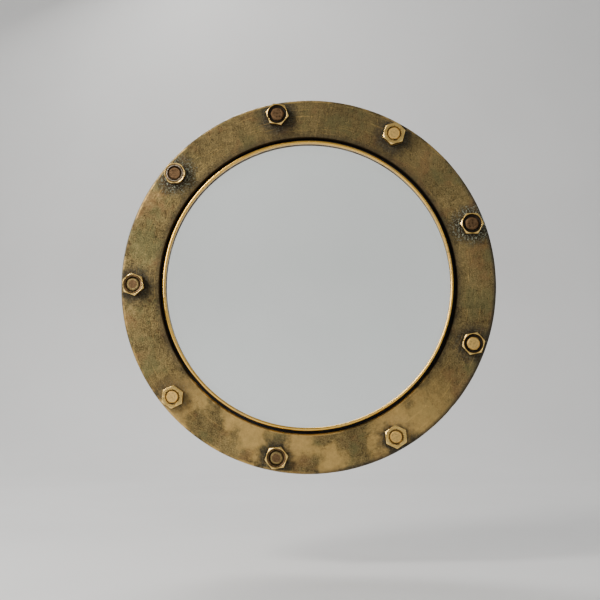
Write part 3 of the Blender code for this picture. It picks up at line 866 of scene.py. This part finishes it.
def hexagon(flats, low, high, turn, inside, chamfer_r, corner_r=1.0, steps=96):
    """A bmesh of a hexagon along Y with its outboard end at Y = low cut back to a cone.

    inside is the outboard end's (radius, depth) profile from the chamfer inwards; it ends in a bore
    that goes right through, or at radius 0. No corner reaches past corner_r.
    """
    shape = bmesh.new()
    slope = tan(radians(30))
    turns = [2 * pi * i / steps for i in range(steps)]
    rings = []

    def ring(places):
        """Adds a ring of points from a (radius, y) for each turn."""
        made = []
        for angle, (r, y) in zip(turns, places):
            about = angle + radians(turn) + pi / 6
            made.append(shape.verts.new((r * cos(about), y, r * sin(about))))
        rings.append(made)

    bore = inside[-1][0]
    for r, depth in reversed(inside):
        if r > 0:
            ring([(r, low + depth)] * steps)
    sides = [min(corner_r, max(chamfer_r + SHRINK, hex_radius(t, flats))) for t in turns]
    ring([(chamfer_r, low)] * steps)
    ring([(r, low + (r - chamfer_r) * slope) for r in sides])
    ring([(r, high) for r in sides])
    if bore > 0:
        ring([(bore, high)] * steps)
        rings.append(rings[0])
    for a, b in zip(rings, rings[1:]):
        for i in range(steps):
            j = (i + 1) % steps
            shape.faces.new((a[i], a[j], b[j], b[i]))
    if bore == 0:
        shape.faces.new(rings[0])
        shape.faces.new(rings[-1])
    bmesh.ops.recalc_face_normals(shape, faces=shape.faces)
    return shape


# Each kind of nut, in mm: where its corners are cut back from, how far they still reach, the (radius,
# depth) profile of its face from there inwards, and how far its stud stops short of the CAD end
NUT_FACES = {
    "flat": (10.7, 13.0, [(7.6, 0.0), (7.2, 0.5)], 0.5),
    "countersunk": (10.6, 12.5, [(10.1, 0.05), (9.6, 0.5), (8.0, 0.8), (7.3, 2.2)], 0.9),
    "dished": (10.6, 12.6, [(10.1, 0.1), (9.6, 0.9), (8.8, 2.6), (7.3, 3.4)], 0.2),
    "rounded": (10.6, 11.4, [(10.3, 0.1), (9.8, 0.4), (7.8, 0.3), (7.2, 1.2)], 1.2),
}


def clamp_nuts(finishes):
    """Nine worn nuts outboard, each of its own kind and turn."""
    low, high = NUT[0].y, NUT[1].y
    for i, (turn, kind, _) in enumerate(NUTS):
        chamfer, corner, face, _ = NUT_FACES[kind]
        inside = [(r * MM, depth * MM) for r, depth in face]
        shape = hexagon(HEX_FLATS - 0.4 * MM, low, high, turn, inside, chamfer * MM, corner * MM)
        batter(shape, 0.00016, 0.006, 11.3 + i)
        piece = add(f"worn_nut_{i + 1}", shape, finishes[kind], sharp=28)
        piece.matrix_world = Matrix.Translation(bolt_place(i).translation)
        soften(piece, 0.00035, 24)
        place(piece, "frame", "nut_brass", f"clamp_nut_{i + 1}")


def clamp_bolts(finishes):
    """Heads inboard, plain shanks through the cabin side and threads outboard."""
    head_low, head_high = CLAMP[1].y + GAP, BOLT[1].y
    for i, (_, kind, stud) in enumerate(NUTS):
        *_, below_end = NUT_FACES[kind]
        tip = BOLT[0].y + below_end * MM
        head = hexagon(HEX_FLATS, -head_high, -head_low, 0, [(0.0, 0.0)], 10.5 * MM)
        bmesh.ops.rotate(head, verts=head.verts, cent=(0, 0, 0), matrix=Matrix.Rotation(pi, 3, "X"))
        piece = add(f"clamp_bolt_piece_{i + 1}", head, finishes[stud], sharp=28)
        combine(piece, rod(BOLT_R - 0.2 * MM, PLAIN_START, head_low + PAST), "UNION")
        thread = threaded(BOLT_R, BOLT_PITCH, tip, PLAIN_START + 1 * MM, fillet=1 * MM)
        combine(piece, thread, "UNION")
        piece.matrix_world = bolt_place(i)
        place(piece, "frame", "nut_brass", f"clamp_bolt_{i + 1}")


# ---- the leaf

def fork(name, angle, finish):
    """Two tines on a foot, screwed to the leaf's rim."""
    foot, high = RIM_HIGH + GAP - DOG_PIVOT_Y, FORK_TOP - DOG_PIVOT_Y
    root, step, tip = FORK_ROOT_R - DOG_PIVOT_R, RIM_R + GAP - DOG_PIVOT_R, 9 * MM
    lip = foot - 2 * MM
    outline = [(root, foot), (step, foot), (step, lip), (tip, lip), (tip, high), (root, high)]
    shape = moved(plate(outline, -FORK_HALF, FORK_HALF), dog_pivot(angle))
    piece = add(f"{name}_fork_piece", shape, finish)
    combine(piece, moved(fork_slot(), at_angle(angle, DOG_PIVOT_R, 0)), "DIFFERENCE")
    for side in (-1, 1):
        combine(piece, moved(countersunk_hole(), screw_place(angle, side)), "DIFFERENCE")
    soften(piece, 0.7 * MM, 35, 3)
    place(piece, "leaf", "leaf_brass", f"{name}_dog_fork")
    for number, side in enumerate((-1, 1), 1):
        fork_screw(name, number, screw_place(angle, side), finish)


def fork_slot():
    """A cutter for the slot, open outwards, its inner corners cut across."""
    half, corner, mouth = 5.2 * MM, 3.7 * MM, 12 * MM
    upper = [(mouth, half), (-corner, half), (-half, corner)]
    outline = upper + [(x, -y) for x, y in reversed(upper)]
    return moved(plate(outline, 35 * MM, 55 * MM), Matrix.Rotation(-pi / 2, 4, "X"))


def countersunk_hole():
    """A cutter for a fork screw."""
    bore, mouth, low, high = SCREW_R + GAP, 4.1 * MM, 35 * MM, 55 * MM
    profile = [(0, low), (bore, low), (bore, FORK_TOP - SCREW_HEAD_T), (mouth, FORK_TOP)]
    return lathe(profile + [(mouth, high), (0, high)], 32, closed=False)


def screw_place(angle, side):
    """The axis of a fork screw, to one side of the slot or the other."""
    return at_angle(angle, SCREW_CIRCLE_R, 0) @ Matrix.Translation((0, 0, side * SCREW_OFFSET))


def fork_screw(name, number, where, finish):
    """A countersunk brass screw with a driver slot."""
    top = FORK_TOP - 0.1 * MM
    corners = [
        (0, SCREW_TIP_Y, 0), (SCREW_R, SCREW_TIP_Y, 0.4 * MM), (SCREW_R, top - SCREW_HEAD_T, 0),
        (3.8 * MM, top - 0.1 * MM, 0.1 * MM), (3.4 * MM, top, 0), (0, top, 0),
    ]
    shape = turned_solid(corners, 3, 32)
    piece = add(f"{name}_screw_piece_{number}", shape, finish)
    long, half = 4.5 * MM, 0.4 * MM
    slot = plate([(-long, -half), (long, -half), (long, half), (-long, half)], -2 * half, 2 * half)
    turn = Matrix.Rotation(radians(35), 4, "Y") @ Matrix.Rotation(pi / 2, 4, "X")
    combine(piece, moved(slot, Matrix.Translation((0, top, 0)) @ turn), "DIFFERENCE")
    soften(piece, 0.1 * MM, 35)
    piece.matrix_world = where
    place(piece, "leaf", "leaf_brass", f"{name}_fork_screw_{number}")


def knuckle():
    """The barrel of the hinge, between the frame's two lugs."""
    return moved(upright(rod(KNUCKLE_R, -KNUCKLE_HALF, KNUCKLE_HALF, 0.9 * MM)), hinge_place())


def hinge_arm():
    """The plate that joins the knuckle to the leaf's rim."""
    root, half = 161.8 * MM, 22.5 * MM
    low, high = RIM_LOW + 0.2 * MM, HINGE.y + 8.2 * MM
    outline = [(root, low), (HINGE.x, low), (HINGE.x, high), (HINGE.x - 6 * MM, high)]
    return plate(outline + [(root, RIM_HIGH - 0.2 * MM)], -half, half, 0.8 * MM)


def leaf(finish):
    """The bead outboard, the glass seat in the middle and the rim inboard, with the hinge's knuckle."""
    low = LEAF[0].y
    nose = (BEAD_R - SIGHT_R) / 2
    bead = arc((SIGHT_R + nose, low + nose), nose, 0, -180, 14)
    sight_end = SIGHT_R + 1.4 * MM
    corners = [
        (*bead[-1], 0), (sight_end, SEAT_Y - (SEAT_R - sight_end), 0), (SEAT_R, SEAT_Y, 0.0003),
        (REBATE_R, SEAT_Y, 0), (REBATE_R, RIM_HIGH - SHRINK, 0.0010),
        (RIM_R - SHRINK, RIM_HIGH - SHRINK, 0.0014), (RIM_R - SHRINK, RIM_LOW, 0.0008),
        (LEAF_R, RIM_LOW, 0), (LEAF_R, SHOULDER_Y, 0.0004), (BEAD_R, SHOULDER_Y, 0), (*bead[0], 0),
    ]
    profile = bead + filleted(corners, 4)[1:-1]
    shape = lathe(finely(profile, 0.006), ROUND)
    batter(shape, 0.00006, 0.020, 5.5)
    piece = add("leaf_casting", shape, finish)
    combine(piece, hinge_arm(), "UNION")
    combine(piece, knuckle(), "UNION")
    reach = KNUCKLE_HALF + PAST
    combine(piece, moved(upright(rod(BUSH_R + GAP, -reach, reach)), hinge_place()), "DIFFERENCE")
    place(piece, "leaf", "leaf_brass", "leaf_frame")


def retaining_ring(finish):
    """The ring that holds the glass, with four notches for a spanner."""
    low, high = RETAINER[0].y, RETAINER[1].y
    inner, outer = RING_BORE_R, RETAINER[1].x - SHRINK
    corners = [(inner, low, 0.0003), (outer, low, 0.0003), (outer, high, 0.0004), (inner, high, 0.0009)]
    piece = add("glass_ring", lathe(filleted(corners, 4), ROUND), finish)
    notches = []
    for angle in (45, 135, 225, 315):
        notches.append(moved(rod(2 * MM, -2 * MM, 4 * MM), at_angle(angle, inner - 1 * MM, high)))
    combine(piece, merge(notches), "DIFFERENCE")
    place(piece, "leaf", "leaf_brass", "glass_retaining_ring")


def glass(finish):
    """The toughened pane."""
    low, high, outer = GLASS[0].y, GLASS[1].y, GLASS[1].x - SHRINK
    corners = [(0, low, 0), (outer, low, 0.0007), (outer, high, 0.0007), (0, high, 0)]
    profile = finely(filleted(corners, 4, closed=False), 0.03, closed=False)
    piece = add("toughened_glass", lathe(profile, ROUND, closed=False), finish)
    place(piece, "leaf", "clear_glass", "glass_pane")


# ---- hinge and dogs

def hinge_fittings(finish):
    """The hinge pin, its split pin and the two bushes in the knuckle."""
    across = Matrix.Translation((HINGE.x, HINGE.y, -38.5 * MM)) @ Matrix.Rotation(pi / 2, 4, "Z")
    hinge_pin(across, finish)
    split_pin(across, finish)
    for name, way in (("upper", -1), ("lower", 1)):
        hinge_bush(name, way, finish)


def hinge_pin(across, finish):
    """A pin with a domed head on top and a hole across it near its lower end."""
    low, under_head, reach = -42 * MM, 34.3 * MM, 8 * MM
    corners = [
        (0, low, 0), (HINGE_PIN_R, low, 0.0008), (HINGE_PIN_R, under_head, 0),
        (0.0070, under_head, 0.0005), (0.0068, 0.0366, 0.0012), (0.0040, 0.0382, 0.003), (0, 0.0384, 0),
    ]
    shape = moved(upright(turned_solid(corners, 5)), hinge_place())
    piece = add("hinge_pin_piece", shape, finish)
    combine(piece, moved(rod(1.3 * MM, -reach, reach, segments=24), across), "DIFFERENCE")
    place(piece, "frame", "leaf_brass", "hinge_pin")


def hinge_bush(name, way, finish):
    """A flanged bush in one end of the knuckle."""
    end = KNUCKLE_HALF + 1.7 * MM
    inner, flange_r = HINGE_PIN_R + GAP, BUSH_R + 1.8 * MM
    under_flange, foot = end - 1.4 * MM, end - BUSH_LENGTH
    corners = [
        (inner, end, 0.0003), (flange_r, end, 0.0004), (flange_r, under_flange, 0.0003),
        (BUSH_R, under_flange, 0), (BUSH_R, foot, 0.0003), (inner, foot, 0.0003),
    ]
    shape = lathe([(r, way * y) for r, y in filleted(corners, 3)], SMALL)
    moved(shape, hinge_place() @ Matrix.Rotation(-pi / 2, 4, "X"))
    piece = add(f"hinge_bush_piece_{name}", shape, finish)
    place(piece, "leaf", "leaf_brass", f"hinge_bush_{name}")


def split_pin(across, finish):
    """A bent wire: an eye at one end and two legs through the hinge pin."""
    apart, eye_r, eye_y = 0.52 * MM, 2.1 * MM, -8.4 * MM
    points = [(-apart, 6.2 * MM), (-apart, 0), (-apart, -6 * MM)]
    for turn in range(-140, 141, 20):
        points.append((eye_r * sin(radians(turn)), eye_y - eye_r * cos(radians(turn))))
    points += [(apart, -6 * MM), (apart, 0), (apart, 5.8 * MM)]
    curve = bpy.data.curves.new("split_pin_wire", "CURVE")
    curve.dimensions = "3D"
    curve.bevel_depth = 0.48 * MM
    curve.bevel_resolution = 3
    curve.use_fill_caps = True
    spline = curve.splines.new("POLY")
    spline.points.add(len(points) - 1)
    for point, (x, y) in zip(spline.points, points):
        point.co = (x, y, 0, 1)
    curve.materials.append(finish)
    wire = show("split_pin_wire", curve)
    wire.matrix_world = across
    place(wire, "frame", "leaf_brass", "hinge_split_pin")


def eye():
    """The ring at the foot of a swing bolt, about its pivot pin."""
    bore = DOG_PIN_R + GAP
    corners = [
        (bore, -EYE_HALF, 0.0004), (EYE_R, -EYE_HALF, 0.0012),
        (EYE_R, EYE_HALF, 0.0012), (bore, EYE_HALF, 0.0004),
    ]
    return upright(lathe(filleted(corners, 4), SMALL))


def neck():
    """The swell between a swing bolt's eye and its thread."""
    low, widest, high = 4 * MM, 7.5 * MM, 11 * MM
    corners = [(0, low, 0), (0.0040, low, 0), (0.0046, widest, 0.002), (0.0046, high, 0), (0, high, 0)]
    return turned_solid(corners, 4)


def swing_bolt(name, swung, finish):
    """An eye, a neck and a threaded shank."""
    reach = EYE_HALF + PAST
    piece = add(f"{name}_swing_bolt_piece", eye(), finish)
    combine(piece, neck(), "UNION")
    combine(piece, threaded(DOG_BOLT_R, DOG_BOLT_PITCH, 10 * MM, 30.5 * MM), "UNION")
    combine(piece, upright(rod(DOG_PIN_R + GAP, -reach, reach)), "DIFFERENCE")
    piece.data.transform(swung)
    place(piece, f"{name}_swing_bolt", "dog_brass", f"{name}_dog_bolt")


def pivot_pin(name, angle, finish):
    """A pin through the dog lugs, with a low head at each end."""
    end = 11.6 * MM
    upper = [(DOG_PIN_R, end, 0), (0.0042, end, 0), (0.0036, end + 0.0012, 0.0006), (0, end + 0.0014, 0)]
    lower = [(r, -y, fillet) for r, y, fillet in reversed(upper)]
    piece = add(f"{name}_pivot_pin_piece", upright(turned_solid(lower + upper, 4)), finish)
    piece.data.transform(dog_pivot(angle))
    place(piece, "frame", "dog_brass", f"{name}_dog_pivot_pin")


def washer(name, where, finish):
    """The plain washer under a wing nut."""
    bore = DOG_BOLT_R + GAP
    corners = [
        (bore, 0, 0.0002), (WASHER_R, 0, 0.0003), (WASHER_R, WASHER_T, 0.0005), (bore, WASHER_T, 0.0003),
    ]
    piece = add(f"{name}_washer_piece", lathe(filleted(corners, 4), SMALL), finish)
    piece.data.transform(where)
    place(piece, f"{name}_washer", "dog_brass", f"{name}_dog_washer")


def wing(way):
    """One ear of a wing nut, with a rounded edge all round."""
    root, half = 5.5 * MM, 1.6 * MM
    outline = [(root, 0.0010), (0.0088, 0.0012)] + arc((0.0140, 0.0062), 0.0047, -62, 132, 16)
    outline += [(0.0080, 0.0072), (root, 0.0080)]
    return moved(plate(outline, -half, half, 0.0011, 4), Matrix.Rotation(way * pi / 2, 4, "Y"))


def wing_nut(name, where, finish):
    """A hub that tapers towards its top, with an ear on each side."""
    bore, foot_r, top = DOG_BOLT_R + GAP, 8 * MM, 9 * MM
    corners = [
        (bore, 0, 0.0002), (foot_r, 0, 0.0005), (foot_r, 0.0022, 0.0012),
        (0.0066, top, 0.0010), (bore, top, 0.0004),
    ]
    piece = add(f"{name}_wing_nut_piece", lathe(filleted(corners, 4), SMALL), finish)
    for way in (1, -1):
        combine(piece, wing(way), "UNION")
    soften(piece, 0.5 * MM, 30)
    piece.data.transform(where)
    place(piece, f"{name}_wing_nut", "dog_brass", f"{name}_dog_wing_nut")


def dog(name, angle, finish):
    """A swing bolt with its pin, washer and wing nut, swung out of its fork."""
    swung = dog_pivot(angle) @ Matrix.Rotation(-radians(DOG_SWUNG_OUT), 4, "Z")
    seat = FORK_TOP - DOG_PIVOT_Y + GAP + BACK_OFF
    swing_bolt(name, swung, finish)
    pivot_pin(name, angle, finish)
    washer(name, swung @ Matrix.Translation((0, seat, 0)), finish)
    wing_nut(name, swung @ Matrix.Translation((0, seat + WASHER_T + GAP, 0)), finish)


# ---- studio

def studio():
    """A pale sweep, a pale sky and four soft lights."""
    nodes = Nodes("pale_studio")
    grain = nodes.noise(0.4, 3, 0.5)
    nodes.set(base_color=nodes.mix(nodes.band(grain, 0.3, 0.7), PAPER, PALE_PAPER), roughness=0.9)
    floor_z, top_z, front_y, back_y = -0.30, 3.0, -3.0, 1.7
    half_width, bend = 4.0, 0.5
    outline = [(front_y, floor_z), (back_y - bend, floor_z)]
    outline += arc((back_y - bend, floor_z + bend), bend, -90, 0, 16) + [(back_y, top_z)]
    shape = bmesh.new()
    left = [shape.verts.new((-half_width, y, z)) for y, z in outline]
    right = [shape.verts.new((half_width, y, z)) for y, z in outline]
    for i in range(len(outline) - 1):
        shape.faces.new((left[i], right[i], right[i + 1], left[i + 1]))
    add("studio_sweep", shape, nodes.material, sharp=60)

    world = bpy.data.worlds.new("studio")
    bpy.context.scene.world = world
    world.use_nodes = True
    sky = world.node_tree.nodes["Background"].inputs
    sky["Color"].default_value = (0.95, 0.97, 1.0, 1)
    sky["Strength"].default_value = 0.40
    light("key", (-1.05, -1.15, 0.40), 0.6, 15, (1.0, 0.97, 0.92))
    light("glint", (-0.86, -0.70, 0.86), 0.35, 12, (1.0, 0.98, 0.94))
    light("fill", (1.6, -1.6, 0.5), 1.6, 4.5, (0.94, 0.97, 1.0))
    light("rim", (-0.6, 1.2, 1.4), 0.9, 22, (1.0, 0.99, 0.97))


def aimed(name, data, position):
    """An object that faces the porthole."""
    obj = show(name, data)
    obj.location = position
    obj.rotation_euler = (-Vector(position)).to_track_quat("-Z", "Y").to_euler()
    return obj


def light(name, position, size, power, colour):
    lamp = bpy.data.lights.new(name, "AREA")
    lamp.size = size
    lamp.energy = power
    lamp.color = colour
    aimed(name, lamp, position)


def camera():
    """A little below and to the right of the porthole's axis."""
    azimuth, elevation, distance = radians(2), radians(-5), 1.2
    lens = bpy.data.cameras.new("camera")
    lens.lens = 67.15
    lens.shift_x = -0.0131
    lens.shift_y = -0.0246
    away = Vector((sin(azimuth) * cos(elevation), -cos(azimuth) * cos(elevation), sin(elevation)))
    bpy.context.scene.camera = aimed("camera", lens, away * distance)


def build():
    """Makes the finishes and then every piece."""
    brass = weathered_brass()
    nut_finishes = {
        "flat": nut_brass("nut_brass_bright", GOLD, rim_r=0.0085, hollow_r=0.0074),
        "countersunk": nut_brass("nut_brass_countersunk", BROWN, rim_r=0.0101, hollow_r=0.0076),
        "dished": nut_brass("nut_brass_dished", BROWN, rim_r=0.0101, hollow_r=0.0096),
        "rounded": nut_brass("nut_brass_rounded", BROWN, rim_r=0.0101, hollow_r=0.0072, lime=0.0083),
    }
    stud_finishes = {
        "bright": stud_brass("stud_bright", OCHRE, GOLD, GOLD),
        "tawny": stud_brass("stud_tawny", UMBER, BROWN, OCHRE),
        "brown": stud_brass("stud_brown", DARK, BROWN, BROWN),
    }
    fittings = worn_brass("fitting_brass", GOLD, OCHRE, polish=0.26, wear_size=0.014)
    leaf_finish = leaf_brass()
    rubber = black_rubber()
    main_frame(brass)
    clamp_ring(brass)
    clamp_nuts(nut_finishes)
    clamp_bolts(stud_finishes)
    leaf(leaf_finish)
    retaining_ring(leaf_finish)
    glass(clear_glass())
    soft_ring("bedding_rubber", rubber, BEDDING_BORE_R, BEDDING, "frame", "bedding_gasket", holes=True)
    soft_ring("glazing_rubber", rubber, SEAT_R + GAP, GLAZING, "leaf", "glazing_gasket")
    soft_ring("weather_seal", rubber, BEAD_R + GAP, SEAL, "leaf", "leaf_seal", bulge=0.0008)
    hinge_fittings(fittings)
    for name, angle in DOG_ANGLES.items():
        dog(name, angle, fittings)
        fork(name, angle, fittings)


build()
studio()
camera()
